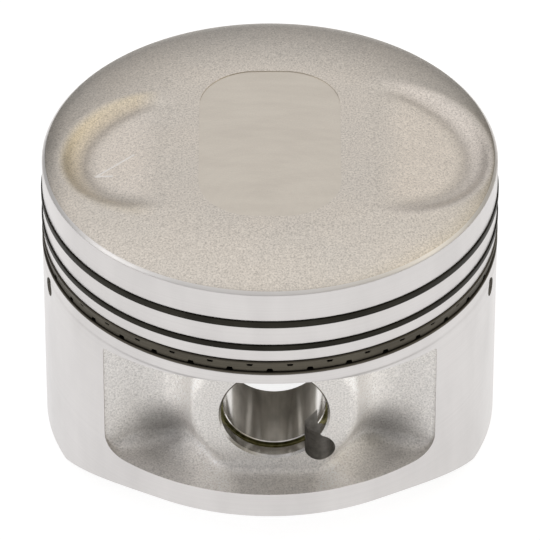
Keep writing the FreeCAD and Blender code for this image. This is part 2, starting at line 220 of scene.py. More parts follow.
def crown_height(x, y):
    """Height of the cast crown over a point of the piston's plan."""
    radius = np.hypot(x, y)
    edge_radius = LAND - RIM_CHAMFER
    rise = CROWN_RISE - LIP_DROP
    reach = edge_radius - PLATEAU
    arc = (reach * reach + rise * rise) / (2 * rise)
    beyond = np.clip(radius - PLATEAU, 0, reach)
    height = CROWN_TOP - (arc - np.sqrt(arc * arc - beyond * beyond))
    height -= LIP_DROP * (np.clip(radius - LIP, 0, None) / (edge_radius - LIP)) ** 2
    for centre_x, centre_y, centre_z, floor_radius, slowness, side in RELIEFS:
        out = np.hypot((x - centre_x) / math.cos(math.atan(RELIEF_TILT)), y - centre_y)
        climb = np.clip(out - floor_radius, 0, None)
        floor = centre_z - (x - centre_x) * side * RELIEF_TILT
        height = soft_union(height, floor + climb * climb / slowness, 0.8)
    inward = 1 - smooth_step(radius, 33.5, edge_radius)
    return height + 0.03 * waves(x, y, 0 * x, 9.0, 3) * inward


# ---------------------------------------- mesh helpers

def build(name, vertices, faces, slots, face_slots):
    """A mesh object from millimetre vertices, with one material slot number for each face."""
    mesh = bpy.data.meshes.new(name)
    mesh.from_pydata((np.asarray(vertices, float) * MM).tolist(), [], faces)
    for slot in slots:
        mesh.materials.append(slot)
    mesh.polygons.foreach_set("material_index", np.asarray(face_slots, np.int32))
    mesh.polygons.foreach_set("use_smooth", np.ones(len(faces), bool))
    mesh.update()
    thing = bpy.data.objects.new(name, mesh)
    bpy.context.scene.collection.objects.link(thing)
    return thing


def round_corners(points):
    """Replace each (radius, height, slot, corner) by an arc where its corner is above zero."""
    result = []
    for number, point in enumerate(points):
        corner = point[3] if len(point) > 3 else 0.0
        here = np.array(point[:2], float)
        if corner <= 0 or number in (0, len(points) - 1):
            result.append((here[0], here[1], point[2]))
            continue
        before = np.array(points[number - 1][:2], float) - here
        after = np.array(points[number + 1][:2], float) - here
        before_length, after_length = np.linalg.norm(before), np.linalg.norm(after)
        reach = min(corner, before_length * 0.45, after_length * 0.45)
        start = here + before / before_length * reach
        finish = here + after / after_length * reach
        for step in range(CORNER_STEPS + 1):
            share = step / CORNER_STEPS
            curve = start * (1 - share) ** 2 + here * 2 * share * (1 - share) + finish * share ** 2
            slot = points[number - 1][2] if step < CORNER_STEPS / 2 else point[2]
            result.append((curve[0], curve[1], slot))
    return result


def lathe(profile, segments=ROUND_SEGMENTS, heights=None):
    """Vertices, faces and slots of a closed turned solid.  The profile starts and ends on the
    axis.  heights maps a profile index to a function of x and y that shapes that ring."""
    angles = np.arange(segments) * 2 * math.pi / segments
    cosines, sines = np.cos(angles), np.sin(angles)
    vertices = [(0.0, 0.0, profile[0][1])]
    rings = []
    for number, (radius, height, _) in enumerate(profile[1:-1], start=1):
        xs, ys = radius * cosines, radius * sines
        zs = np.full(segments, height)
        if heights is not None and number in heights:
            zs = heights[number](xs, ys)
        rings.append(len(vertices))
        vertices.extend(zip(xs.tolist(), ys.tolist(), zs.tolist()))
    last = len(vertices)
    top = profile[-1][1]
    if heights is not None and len(profile) - 1 in heights:
        top = float(heights[len(profile) - 1](np.zeros(1), np.zeros(1))[0])
    vertices.append((0.0, 0.0, top))
    faces, slots = [], []
    following = [(step + 1) % segments for step in range(segments)]
    for step in range(segments):
        faces.append((0, rings[0] + following[step], rings[0] + step))
        slots.append(profile[0][2])
    for number in range(len(rings) - 1):
        low, high = rings[number], rings[number + 1]
        for step in range(segments):
            ahead = following[step]
            faces.append((low + step, low + ahead, high + ahead, high + step))
        slots.extend([profile[number + 1][2]] * segments)
    for step in range(segments):
        faces.append((last, rings[-1] + step, rings[-1] + following[step]))
        slots.append(profile[-2][2])
    return np.array(vertices), faces, slots


def skin(field, low, high, step):
    """Vertices and quads of the surface where the field is zero.  The field is negative inside."""
    axes = [np.arange(start, stop + step, step) for start, stop in zip(low, high)]
    value = field(*np.meshgrid(*axes, indexing="ij"))
    shape = np.array(value.shape)
    total = np.zeros(tuple(shape - 1) + (3,))
    count = np.zeros(tuple(shape - 1))
    corners = np.indices(tuple(shape - 1)).astype(float)
    edges = []
    for axis in range(3):
        near = np.take(value, range(shape[axis] - 1), axis)
        far = np.take(value, range(1, shape[axis]), axis)
        crossing = (near < 0) != (far < 0)
        share = np.where(crossing, near / np.where(crossing, near - far, 1), 0)
        edges.append((crossing, near < 0))
        others = [other for other in range(3) if other != axis]
        for first in (0, 1):
            for second in (0, 1):
                cut = [slice(None)] * 3
                cut[others[0]] = slice(first, shape[others[0]] - 1 + first)
                cut[others[1]] = slice(second, shape[others[1]] - 1 + second)
                hit = crossing[tuple(cut)]
                count += hit
                total[..., axis] += hit * (corners[axis] + share[tuple(cut)])
                total[..., others[0]] += hit * (corners[others[0]] + first)
                total[..., others[1]] += hit * (corners[others[1]] + second)
    active = count > 0
    index = np.full(active.shape, -1)
    index[active] = np.arange(active.sum())
    points = total[active] / count[active][:, None] * step + np.array([axis[0] for axis in axes])
    faces = []
    for axis, (crossing, inward) in enumerate(edges):
        others = [(axis + 1) % 3, (axis + 2) % 3]
        where = np.argwhere(crossing)
        fits = np.ones(len(where), bool)
        for other in others:
            fits &= (where[:, other] > 0) & (where[:, other] < shape[other] - 1)
        where = where[fits]
        quad = []
        for first, second in ((1, 1), (0, 1), (0, 0), (1, 0)):
            cell = where.copy()
            cell[:, others[0]] -= first
            cell[:, others[1]] -= second
            quad.append(index[tuple(cell.T)])
        quad = np.stack(quad, 1)
        outward = inward[tuple(where.T)]
        quad[~outward] = quad[~outward][:, ::-1]
        faces.append(quad)
    faces = np.concatenate(faces)
    for _ in range(4):
        here = field(*points.T)
        nudge = step * 0.05
        slope = np.stack([
            (field(*(points + nudge * np.eye(3)[axis]).T) - here) / nudge for axis in range(3)
        ], 1)
        square = np.maximum((slope * slope).sum(1), 0.05)
        points -= np.clip(here / square, -step * 0.4, step * 0.4)[:, None] * slope
    return points, faces.tolist()


def cut_away(target, cutter):
    """Take the cutter out of the target, keep each one's material slots, and drop the cutter."""
    modifier = target.modifiers.new("cut", "BOOLEAN")
    modifier.operation = "DIFFERENCE"
    modifier.solver = "MANIFOLD"
    modifier.object = cutter
    apply_modifiers(target)
    spare = cutter.data
    bpy.data.objects.remove(cutter)
    bpy.data.meshes.remove(spare)


def apply_modifiers(thing):
    graph = bpy.context.evaluated_depsgraph_get()
    evaluated = thing.evaluated_get(graph)
    mesh = bpy.data.meshes.new_from_object(evaluated, preserve_all_data_layers=True,
                                           depsgraph=graph)
    spare = thing.data
    name = spare.name
    thing.modifiers.clear()
    thing.data = mesh
    bpy.data.meshes.remove(spare)
    mesh.name = name


# ---------------------------------------- the casting

def outside_profile():
    """The turned outline from the foot up to the middle of the crown."""
    turned, groove, crown = (SLOTS.index(name) for name in ("turned", "groove", "cast_crown"))
    points = [
        (0.0, 0.0, turned),
        (SKIRT - FOOT_CHAMFER, 0.0, turned, 0.25),
        (SKIRT, FOOT_CHAMFER, turned, 0.3),
    ]
    for height in np.arange(3.0, BELT_FOOT - 1.5, 2.0):
        points.append((SKIRT, float(height), turned))
    points.append((SKIRT, BELT_FOOT - 0.5, turned, 0.3))
    points.append((LAND, BELT_FOOT, turned, 0.3))
    for foot, thick, edge in (OIL_GROOVE, SECOND_GROOVE, TOP_GROOVE):
        low, high = foot - GROOVE_PLAY, foot + thick + GROOVE_PLAY
        points.append((LAND, low - edge, turned, 0.05))
        points.append((LAND - edge, low, groove, 0.05))
        points.append((GROOVE_ROOT, low, groove, 0.2))
        points.append((GROOVE_ROOT, high, groove, 0.2))
        points.append((LAND - edge, high, turned, 0.05))
        points.append((LAND, high + edge, turned, 0.05))
    # The rim chamfer takes a lighter, less metallic copy of the turned finish, as a painted
    # highlight.
    points.append((LAND, RIM - RIM_CHAMFER, SLOTS.index("rim_edge_highlight"), 0.12))
    rounded = round_corners(points + [(LAND - RIM_CHAMFER, RIM, crown)])
    heights = {}
    radii = np.concatenate([np.linspace(LAND - 0.75, 30.0, 14), np.arange(29.5, 0.4, -0.5)])
    for radius in radii:
        heights[len(rounded)] = crown_height
        rounded.append((float(radius), RIM, crown))
    heights[len(rounded)] = crown_height
    rounded.append((0.0, CROWN_TOP, crown))
    return rounded, heights


def capsule(x, y, z, start, finish, radius):
    """Distance to a round bar between two points."""
    start, finish = np.array(start), np.array(finish)
    along = finish - start
    x, y, z = x - start[0], y - start[1], z - start[2]
    share = np.clip((x * along[0] + y * along[1] + z * along[2]) / (along @ along), 0, 1)
    apart = (x - share * along[0]) ** 2 + (y - share * along[1]) ** 2
    return np.sqrt(apart + (z - share * along[2]) ** 2) - radius


def recess_metal(x, y, z):
    """Distance to the casting beside and on one boss, with y counted outward.  The wall comes
    forward towards both ends, the boss is drawn out upward, and a rib runs down to the ledge
    on each side of it."""
    beyond = np.abs(x) - FLANK_START
    lean = FLANK_SLOPE * 0.5 * (beyond + np.sqrt(beyond * beyond + 4.0))
    wall = y - RECESS_WALL - lean - 0.06 * waves(x, y, z, 8.0, 11)
    rise = z - PIN_Z
    side = np.hypot(x - PIN_X, np.minimum(rise, 0) * 1.01 + np.maximum(rise, 0) * 0.38)
    draft = BOSS_DRAFT * np.clip(BOSS_FACE - y, 0, None)
    boss = soft_common(side - BOSS_RADIUS - draft, y - BOSS_FACE, BOSS_EDGE)
    metal = soft_union(wall, boss, BOSS_FILLET)
    for hand in (-1, 1):
        inner, outer = ((PIN_X + hand * away, out, RECESS_FOOT + up)
                        for away, out, up in RIB_ENDS)
        metal = soft_union(metal, capsule(x, y, z, inner, outer, RIB_RADIUS), RIB_FILLET)
    ledge = z - RECESS_FOOT - LEDGE_SLOPE * (SKIRT - y)
    ends = RECESS_HALF_X - np.abs(x)
    outline = soft_union(ledge, ends, RECESS_CORNER)
    # The wall meets the ledge in a wide fillet and the ends in a sharp corner.
    metal = soft_union(metal, outline, 0.3 + 2.5 * smooth_step(ends - ledge, -0.5, 4.0))
    ceiling = BELT_FOOT - RECESS_TOP_SAG * (x / RECESS_HALF_X) ** 2 - z
    return soft_union(metal, ceiling, 0.5)


def recess_cutter(materials, side):
    """The space of one side recess.  side is -1 for the near boss and 1 for the far one."""
    def space(x, y, z):
        return np.maximum(-recess_metal(x, y * side, z), y * side - RECESS_REACH)

    low, high = RECESS_BOX
    if side < 0:
        low, high = (low[0], -high[1], low[2]), (high[0], -low[1], high[2])
    points, faces = skin(space, low, high, RECESS_STEP)
    return build("recess_cutter", points, faces, materials,
                 [SLOTS.index("recess")] * len(faces))


def hollow_cutter(materials):
    """The space under the crown, round the bosses and open at the foot."""
    def space(x, y, z):
        radius = SKIRT_INNER + (BELT_INNER - SKIRT_INNER) * smooth_step(z, *BELT_STEP)
        across = np.abs(y)
        body = soft_common(np.hypot(x, y) - radius, across - WALL_INNER, 5.0)
        body = soft_common(body, z - UNDERSIDE - UNDERSIDE_CURVE * (x * x), 7.0)
        side = np.hypot(x - PIN_X, np.minimum(z - PIN_Z, 0) * 1.02)
        boss = soft_common(side - BOSS_RADIUS, BOSS_INNER - across, 1.5)
        space_left = soft_common(body, -boss, 4.0)
        return np.maximum(space_left + 0.05 * waves(x, y, z, 9.0, 23), -2.0 - z)

    points, faces = skin(space, *HOLLOW_BOX, HOLLOW_STEP)
    return build("hollow_cutter", points, faces, materials,
                 [SLOTS.index("hollow")] * len(faces))


def bore_cutter(materials):
    """The pin bore with its entries, circlip grooves and chamfers, turned about the pin axis."""
    bore, entry, clip = (SLOTS.index(name) for name in ("bore", "entry", "clip_groove"))
    outer = CLIP_GROOVE + CLIP_GROOVE_WIDTH
    flare = ENTRY_RADIUS + ENTRY_CHAMFER + 0.6
    half = [
        (PIN_RADIUS, CLIP_GROOVE - 0.12, bore),
        (PIN_RADIUS + 0.12, CLIP_GROOVE, clip),
        (CLIP_GROOVE_RADIUS, CLIP_GROOVE, clip, 0.15),
        (CLIP_GROOVE_RADIUS, outer, clip, 0.15),
        (ENTRY_RADIUS, outer, bore, 0.05),
        (ENTRY_RADIUS, BOSS_FACE - ENTRY_CHAMFER, entry),
        (flare, BOSS_FACE + 0.6, entry),
        (flare, 45.0, entry),
        (0.0, 45.0, entry),
    ]
    near = []
    for number in range(len(half) - 1, -1, -1):
        point = half[number]
        slot = half[number - 1][2] if number else bore
        near.append((point[0], -point[1], slot) + tuple(point[3:]))
    vertices, faces, slots = lathe(round_corners(near + half), BORE_SEGMENTS)
    x, y, z = vertices.T
    turned = np.stack([x + PIN_X, z, PIN_Z - y], 1)
    return build("bore_cutter", turned, faces, materials, slots)


def peg_cutter(materials, slot, centre, direction, radius, length, tip):
    """A drilled hole: a round peg from the centre along the direction, with a coned tip."""
    number = SLOTS.index(slot)
    vertices, faces, slots = lathe([
        (0.0, 0.0, number),
        (radius, 0.0, number),
        (radius, length - tip, number),
        (0.0, length, number),
    ], PEG_SEGMENTS)
    turn = Vector(direction).to_track_quat("Z", "Y").to_matrix()
    placed = vertices @ np.array(turn).T + np.array(centre)
    return build("peg_cutter", placed, faces, materials, slots)


def prism_cutter(materials, slot, outline, low, high, upright):
    """A prism over an outline.  Upright ones run along Z, the others along Y."""
    count = len(outline)
    vertices = []
    for level in (low, high):
        for first, second in outline:
            vertices.append((first, second, level) if upright else (first, -level, second))
    faces = [tuple(range(count - 1, -1, -1)), tuple(range(count, 2 * count))]
    for number in range(count):
        ahead = (number + 1) % count
        faces.append((number, ahead, ahead + count, number + count))
    return build("prism_cutter", vertices, faces, materials, [SLOTS.index(slot)] * len(faces))


def rounded_rectangle(half_x, half_y, corner):
    """Outline points in plan, going anticlockwise."""
    outline = []
    for number, (side_x, side_y) in enumerate(((1, -1), (1, 1), (-1, 1), (-1, -1))):
        for step in range(PAD_CORNER_STEPS + 1):
            angle = math.pi / 2 * (number - 1 + step / PAD_CORNER_STEPS)
            outline.append((
                side_x * (half_x - corner) + corner * math.cos(angle),
                side_y * (half_y - corner) + corner * math.sin(angle),
            ))
    return outline


def arch_outline():
    """The space under the lifted lower edge, seen along Y."""
    reach = ARCH_FOOT - ARCH_FLAT
    radius = (reach * reach + ARCH_HEIGHT * ARCH_HEIGHT) / (2 * ARCH_HEIGHT)
    steps, right = 24, []
    for step in range(steps + 1):
        out = reach * step / steps
        drop = radius - math.sqrt(radius ** 2 - out ** 2)
        right.append((ARCH_FLAT + out, ARCH_HEIGHT - drop))
    left = [(-x, z) for x, z in right]
    return [(-ARCH_FOOT, -3.0), (ARCH_FOOT, -3.0)] + right[::-1] + left


def mark_stroke(materials, start, finish):
    """One engraved stroke that follows the floor of the left valve relief."""
    start, finish = np.array(start), np.array(finish)
    along = (finish - start) / np.linalg.norm(finish - start)
    across = np.array([-along[1], along[0]]) * MARK_WIDTH / 2
    steps = 10
    vertices = []
    for step in range(steps + 1):
        middle = start + (finish - start) * step / steps
        floor = float(crown_height(np.array([middle[0]]), np.array([middle[1]]))[0])
        for offset, height in ((across * 1.6, 2.0), (across, 0.02), (across * 0.1, -MARK_DEPTH),
                               (-across * 0.1, -MARK_DEPTH), (-across, 0.02),
                               (-across * 1.6, 2.0)):
            point = middle + offset
            vertices.append((point[0], point[1], floor + height))
    size = 6
    faces = [tuple(range(size)), tuple(range(steps * size + size - 1, steps * size - 1, -1))]
    for step in range(steps):
        for number in range(size):
            ahead = (number + 1) % size
            faces.append((step * size + ahead, step * size + number,
                          (step + 1) * size + number, (step + 1) * size + ahead))
    return build("mark_cutter", vertices, faces, materials, [SLOTS.index("mark")] * len(faces))


def make_casting(materials):
    """The turned outside, cut by one tool after another."""
    profile, heights = outside_profile()
    vertices, faces, slots = lathe(profile, heights=heights)
    casting = build("piston_casting", vertices, faces, materials, slots)
    for side in (-1, 1):
        cut_away(casting, recess_cutter(materials, side))
    cut_away(casting, hollow_cutter(materials))
    cut_away(casting, prism_cutter(materials, "turned", arch_outline(), -OUTSIDE, OUTSIDE,
                                   False))
    pad = rounded_rectangle(PAD_HALF_X, PAD_HALF_Y, PAD_CORNER)
    cut_away(casting, prism_cutter(materials, "milled", pad, CROWN_TOP - PAD_DEPTH,
                                   CROWN_TOP + 3, True))
    cut_away(casting, bore_cutter(materials))
    for side in (-1, 1):
        angle = math.radians(NOTCH_ANGLE)
        centre = (PIN_X + NOTCH_OFFSET * math.cos(angle), side * OUTSIDE,
                  PIN_Z - NOTCH_OFFSET * math.sin(angle))
        cut_away(casting, peg_cutter(materials, "notch", centre, (0, -side, 0), NOTCH_RADIUS,
                                     OUTSIDE - NOTCH_END, 0.3))
    for angle in OIL_HOLE_ANGLES:
        way = (math.cos(math.radians(angle)), math.sin(math.radians(angle)), 0.0)
        start = tuple(part * OIL_HOLE_START for part in way[:2]) + (OIL_HOLE_HEIGHT,)
        inward = tuple(-part for part in way)
        cut_away(casting, peg_cutter(materials, "groove", start, inward, OIL_HOLE_RADIUS,
                                     OIL_HOLE_LENGTH, 0.5))
    for finish in MARK_ENDS:
        cut_away(casting, mark_stroke(materials, MARK_TIP, finish))
    casting.data.set_sharp_from_angle(angle=math.radians(32))
    return casting


# ---------------------------------------- rings and circlip

def swept_ring(name, section, material, turn, segments=ROUND_SEGMENTS, shape=None):
    """A split ring: the section, a loop of (radius, height), swept about the cylinder axis.
    shape may lift or lower a section point: it is given the point's height and the angles."""
    angles = np.radians(turn) + np.linspace(0, np.radians(RING_SWEEP), segments + 1)
    count = len(section)
    vertices = np.zeros((segments + 1, count, 3))
    for number, (radius, height) in enumerate(section):
        heights = height if shape is None else shape(height, angles)
        vertices[:, number, 0] = radius * np.cos(angles)
        vertices[:, number, 1] = radius * np.sin(angles)
        vertices[:, number, 2] = heights
    faces = []
    for step in range(segments):
        for number in range(count):
            ahead = (number + 1) % count
            faces.append((step * count + number, (step + 1) * count + number,
                          (step + 1) * count + ahead, step * count + ahead))
    faces.append(tuple(range(count)))
    faces.append(tuple(range(segments * count + count - 1, segments * count - 1, -1)))
    ring = build(name, vertices.reshape(-1, 3), faces, [material], [0] * len(faces))
    ring.data.set_sharp_from_angle(angle=math.radians(35))
    return ring


def ring_section(inner, outer, foot, top, edge):
    """Rectangle with rounded outer corners and lightly broken inner ones, going anticlockwise
    when radius runs right and height runs up."""
    steps, broken = 6, 0.05
    lower, upper = [], []
    for step in range(1, steps):
        angle = math.pi / 2 * step / steps
        lower.append((outer - edge + edge * math.sin(angle), foot + edge - edge * math.cos(angle)))
        upper.append((outer - edge + edge * math.cos(angle), top - edge + edge * math.sin(angle)))
    return ([(inner + broken, foot), (outer - edge, foot)] + lower
            + [(outer, foot + edge), (outer, top - edge)] + upper
            + [(outer - edge, top), (inner + broken, top), (inner, top - broken),
               (inner, foot + broken)])


def make_rings(iron, rail, expander):
    """The five ring pieces, each with the node it replaces, its body and its material slot."""
    oil_foot, oil_thick = OIL_GROOVE[:2]
    upper_rail_foot = oil_foot + oil_thick - RAIL_THICK
    low, high = oil_foot + RAIL_THICK + RAIL_PLAY, upper_rail_foot - RAIL_PLAY
    pieces = []
    for name, node, groove, turn, edge in (
        ("top_compression_ring", "top_ring", TOP_GROOVE, TOP_RING_TURN, 0.14),
        ("second_compression_ring", "second_ring", SECOND_GROOVE, SECOND_RING_TURN, 0.1),
    ):
        section = ring_section(RING_INNER, RING_OUTER, groove[0], groove[0] + groove[1], edge)
        pieces.append((swept_ring(name, section, iron, turn), node, node, "ring_iron"))
    for name, node, foot, turn in (
        ("upper_oil_rail", "oil_ring_upper_rail", upper_rail_foot, UPPER_RAIL_TURN),
        ("lower_oil_rail", "oil_ring_lower_rail", oil_foot, LOWER_RAIL_TURN),
    ):
        section = ring_section(RING_INNER, RING_OUTER, foot, foot + RAIL_THICK, 0.16)
        pieces.append((swept_ring(name, section, rail, turn), node, "oil_ring", "rail_steel"))

    def crenellate(height, angles):
        """Press slots into the band from above and from below by turns."""
        from_top = height > (low + high) / 2
        pitch = math.radians(EXPANDER_PITCH)
        offset = math.radians(EXPANDER_TURN) + (pitch / 2 if from_top else 0.0)
        away = np.abs((angles - offset + pitch / 2) % pitch - pitch / 2)
        slot = 1 - smooth_step(away, *np.radians(EXPANDER_SLOT))
        depth = (high - low - EXPANDER_WEB) / 2 * slot
        return height - depth if from_top else height + depth

    section = ring_section(EXPANDER_INNER, EXPANDER_OUTER, low, high, 0.1)
    piece = swept_ring("oil_ring_spacer", section, expander, EXPANDER_TURN, EXPANDER_SEGMENTS,
                       crenellate)
    pieces.append((piece, "oil_ring_expander", "oil_ring", "expander_steel"))
    return pieces


def make_circlip(material):
    """A round wire bent about the pin axis, open at the top, with its ends rounded."""
    wire = CLIP_WIRE_RADIUS
    bend = CLIP_GROOVE_RADIUS - 0.02 - wire
    middle = CLIP_GROOVE + CLIP_GROOVE_WIDTH / 2
    steps, around = 160, 24
    last = math.radians(CLIP_HALF_SWEEP)
    stations = [(last * (2 * step / steps - 1), wire) for step in range(steps + 1)]
    for reach, share in ((0.35, 0.97), (0.7, 0.72), (0.92, 0.4)):
        end = last + wire * reach / bend
        stations = [(-end, wire * share)] + stations + [(end, wire * share)]
    vertices, faces = [], []
    for angle, thick in stations:
        for number in range(around):
            turn = 2 * math.pi * number / around
            radius = bend + thick * math.cos(turn)
            vertices.append((PIN_X + radius * math.sin(angle), middle + thick * math.sin(turn),
                             PIN_Z - radius * math.cos(angle)))
    for step in range(len(stations) - 1):
        for number in range(around):
            ahead = (number + 1) % around
            faces.append((step * around + number, step * around + ahead,
                          (step + 1) * around + ahead, (step + 1) * around + number))
    faces.append(tuple(range(around - 1, -1, -1)))
    faces.append(tuple(range((len(stations) - 1) * around, len(stations) * around)))
    return build("wire_circlip", vertices, faces, [material], [0] * len(faces))


# ---------------------------------------- materials

class Nodes:
    """Short ways to add nodes to the tree of a material or of the world."""

    def __init__(self, tree):
        self.tree = tree

    def add(self, kind, operation=None):
        node = self.tree.nodes.new("ShaderNode" + kind)
        if operation is not None:
            node.operation = operation
        return node

    def link(self, output, target):
        self.tree.links.new(output, target)

    def separate(self, vector):
        """The three coordinates of a vector."""
        node = self.add("SeparateXYZ")
        self.link(vector, node.inputs["Vector"])
        return node.outputs

    def ramp(self, value, stops):
        """Map a value through grey or coloured stops of (position, colour)."""
        node = self.add("ValToRGB")
        elements = node.color_ramp.elements
        elements[0].position = stops[0][0]
        elements[1].position = stops[-1][0]
        for position, _ in stops[1:-1]:
            elements.new(position)
        for element, (_, color) in zip(elements, stops):
            if not isinstance(color, tuple):
                color = (color,) * 3
            element.color = color + (1.0,)
        self.link(value, node.inputs["Fac"])
        return node.outputs["Color"]

    def mix(self, share, first, second, blend="MIX"):
        node = self.add("Mix")
        node.data_type = "RGBA"
        node.blend_type = blend
        for value, socket in ((share, node.inputs[0]), (first, node.inputs[6]),
                              (second, node.inputs[7])):
            if isinstance(value, bpy.types.NodeSocket):
                self.link(value, socket)
            elif isinstance(value, tuple):
                socket.default_value = value + (1.0,)
            else:
                socket.default_value = value
        return node.outputs[2]

    def multiply(self, first, second):
        return self.mix(1.0, first, second, "MULTIPLY")


class Shader(Nodes):
    """A Principled material, painted by where a point lies on the object."""

    def __init__(self, name, color, metallic, roughness):
        self.material = bpy.data.materials.new(name)
        self.material.use_nodes = True
        super().__init__(self.material.node_tree)
        self.surface = self.tree.nodes["Principled BSDF"]
        self.surface.inputs["Base Color"].default_value = color + (1.0,)
        self.surface.inputs["Metallic"].default_value = metallic
        self.surface.inputs["Roughness"].default_value = roughness
        self.place = self.add("TexCoord").outputs["Object"]
        self.material.diffuse_color = color + (1.0,)

    def stretch(self, scale, shift=(0, 0, 0), place=None):
        """Object coordinates, or another place, scaled and then shifted."""
        node = self.add("Mapping")
        node.inputs["Scale"].default_value = scale
        node.inputs["Location"].default_value = shift
        self.link(self.place if place is None else place, node.inputs["Vector"])
        return node.outputs["Vector"]

    def noise(self, vector, scale, detail, roughness):
        node = self.add("TexNoise")
        node.inputs["Scale"].default_value = scale
        node.inputs["Detail"].default_value = detail
        node.inputs["Roughness"].default_value = roughness
        self.link(vector, node.inputs["Vector"])
        return node.outputs["Fac"]

    def length(self, vector):
        node = self.add("VectorMath", "LENGTH")
        self.link(vector, node.inputs[0])
        return node.outputs["Value"]

    def from_axis(self, centre, across):
        """Distance from an axis as a share of MASK_REACH.  The centre is in millimetres, and
        across is 1 for each direction that counts and 0 for the one along the axis."""
        scale = tuple(counts / MASK_REACH for counts in across)
        shift = tuple(-part * MM * share for part, share in zip(centre, scale))
        return self.length(self.stretch(scale, shift))

    def span(self, value, low, high):
        """Map a value from 0..1 to low..high."""
        node = self.add("MapRange")
        node.inputs["To Min"].default_value = low
        node.inputs["To Max"].default_value = high
        self.link(value, node.inputs["Value"])
        return node.outputs["Result"]

    def bump(self, height, distance, strength, under=None):
        node = self.add("Bump")
        node.inputs["Distance"].default_value = distance
        node.inputs["Strength"].default_value = strength
        self.link(height, node.inputs["Height"])
        if under is not None:
            self.link(under, node.inputs["Normal"])
        self.link(node.outputs["Normal"], self.surface.inputs["Normal"])
        return node.outputs["Normal"]

    def color(self, output):
        self.link(output, self.surface.inputs["Base Color"])

    def roughness(self, output):
        self.link(output, self.surface.inputs["Roughness"])


def cast_shader(name, color, warm, grain, depth, pits, roughness=0.48, metallic=1.0):
    """Blasted or as-cast aluminium: a fine light and dark grain over slow changes between two
    colours.  grain is the noise scale, depth the bump in metres and pits the strength of the
    grain.  Gives the shader and its colour."""
    shader = Shader(name, color, metallic, roughness)
    fine = shader.noise(shader.place, grain, 3.0, 0.7)
    coarse = shader.noise(shader.place, grain * 0.35, 2.0, 0.6)
    slow = shader.noise(shader.place, 90.0, 3.0, 0.5)
    tone = shader.mix(shader.ramp(slow, [(0.3, 0.0), (0.7, 1.0)]), color, warm)
    speck = shader.ramp(fine, [(0.27, 1.0 - 2.0 * pits), (0.36, 1.0 - pits), (0.5, 1.0),
                               (0.68, 1.0 + pits)])
    tone = shader.multiply(tone, speck)
    blot = shader.ramp(coarse, [(0.3, 1.0 - pits * 0.25), (0.6, 1.0)])
    tone = shader.multiply(tone, blot)
    shader.color(tone)
    shader.roughness(shader.span(coarse, roughness - 0.05, roughness + 0.06))
    under = shader.bump(coarse, depth, 0.5)
    shader.bump(fine, depth, 1.0, under)
    return shader, tone


def cast_material(*settings):
    """The same with no more painting; the settings are those of cast_shader."""
    return cast_shader(*settings)[0].material


def recess_material():
    """The as-cast recess, with painted shade darkening the corners where boss, wall and ledge
    meet, and a painted highlight on the rounded edge of the boss."""
    shader, tone = cast_shader("cast_recess", (0.76, 0.74, 0.72), (0.79, 0.765, 0.735),
                               3600.0, 0.00006, 0.2, 0.5, 0.85)
    # Folding the object about the pin lets one patch of painted shade stand for all four corners.
    folded = shader.add("VectorMath", "ABSOLUTE")
    shader.link(shader.stretch((1.0, 1.0, 1.0), (-PIN_X * MM, 0.0, 0.0)), folded.inputs[0])
    scale = tuple(1.0 / (part * MM) for part in PAINTED_SHADE_REACH)
    shift = tuple(-centre / part for centre, part in zip(PAINTED_SHADE_CENTRE, PAINTED_SHADE_REACH))
    away = shader.length(shader.stretch(scale, shift, folded.outputs["Vector"]))
    # Painted shade: the colour is darkened in the patch at each corner of a recess.
    dull = shader.ramp(away, [(0.0, 0.52), (0.35, 0.6), (0.7, 0.86), (1.0, 1.0)])
    # Painted highlight: the colour is lightened in a ring round the pin axis, on the rounded edge
    # of the boss.
    reach = shader.from_axis((PIN_X, 0.0, PIN_Z), (1, 0, 1))
    bright = shader.ramp(reach, [(0.285, 0.955), (0.31, 0.98), (0.335, 1.3), (0.38, 1.24),
                                 (0.45, 1.0)])
    shader.color(shader.multiply(shader.multiply(tone, dull), bright))
    return shader.material


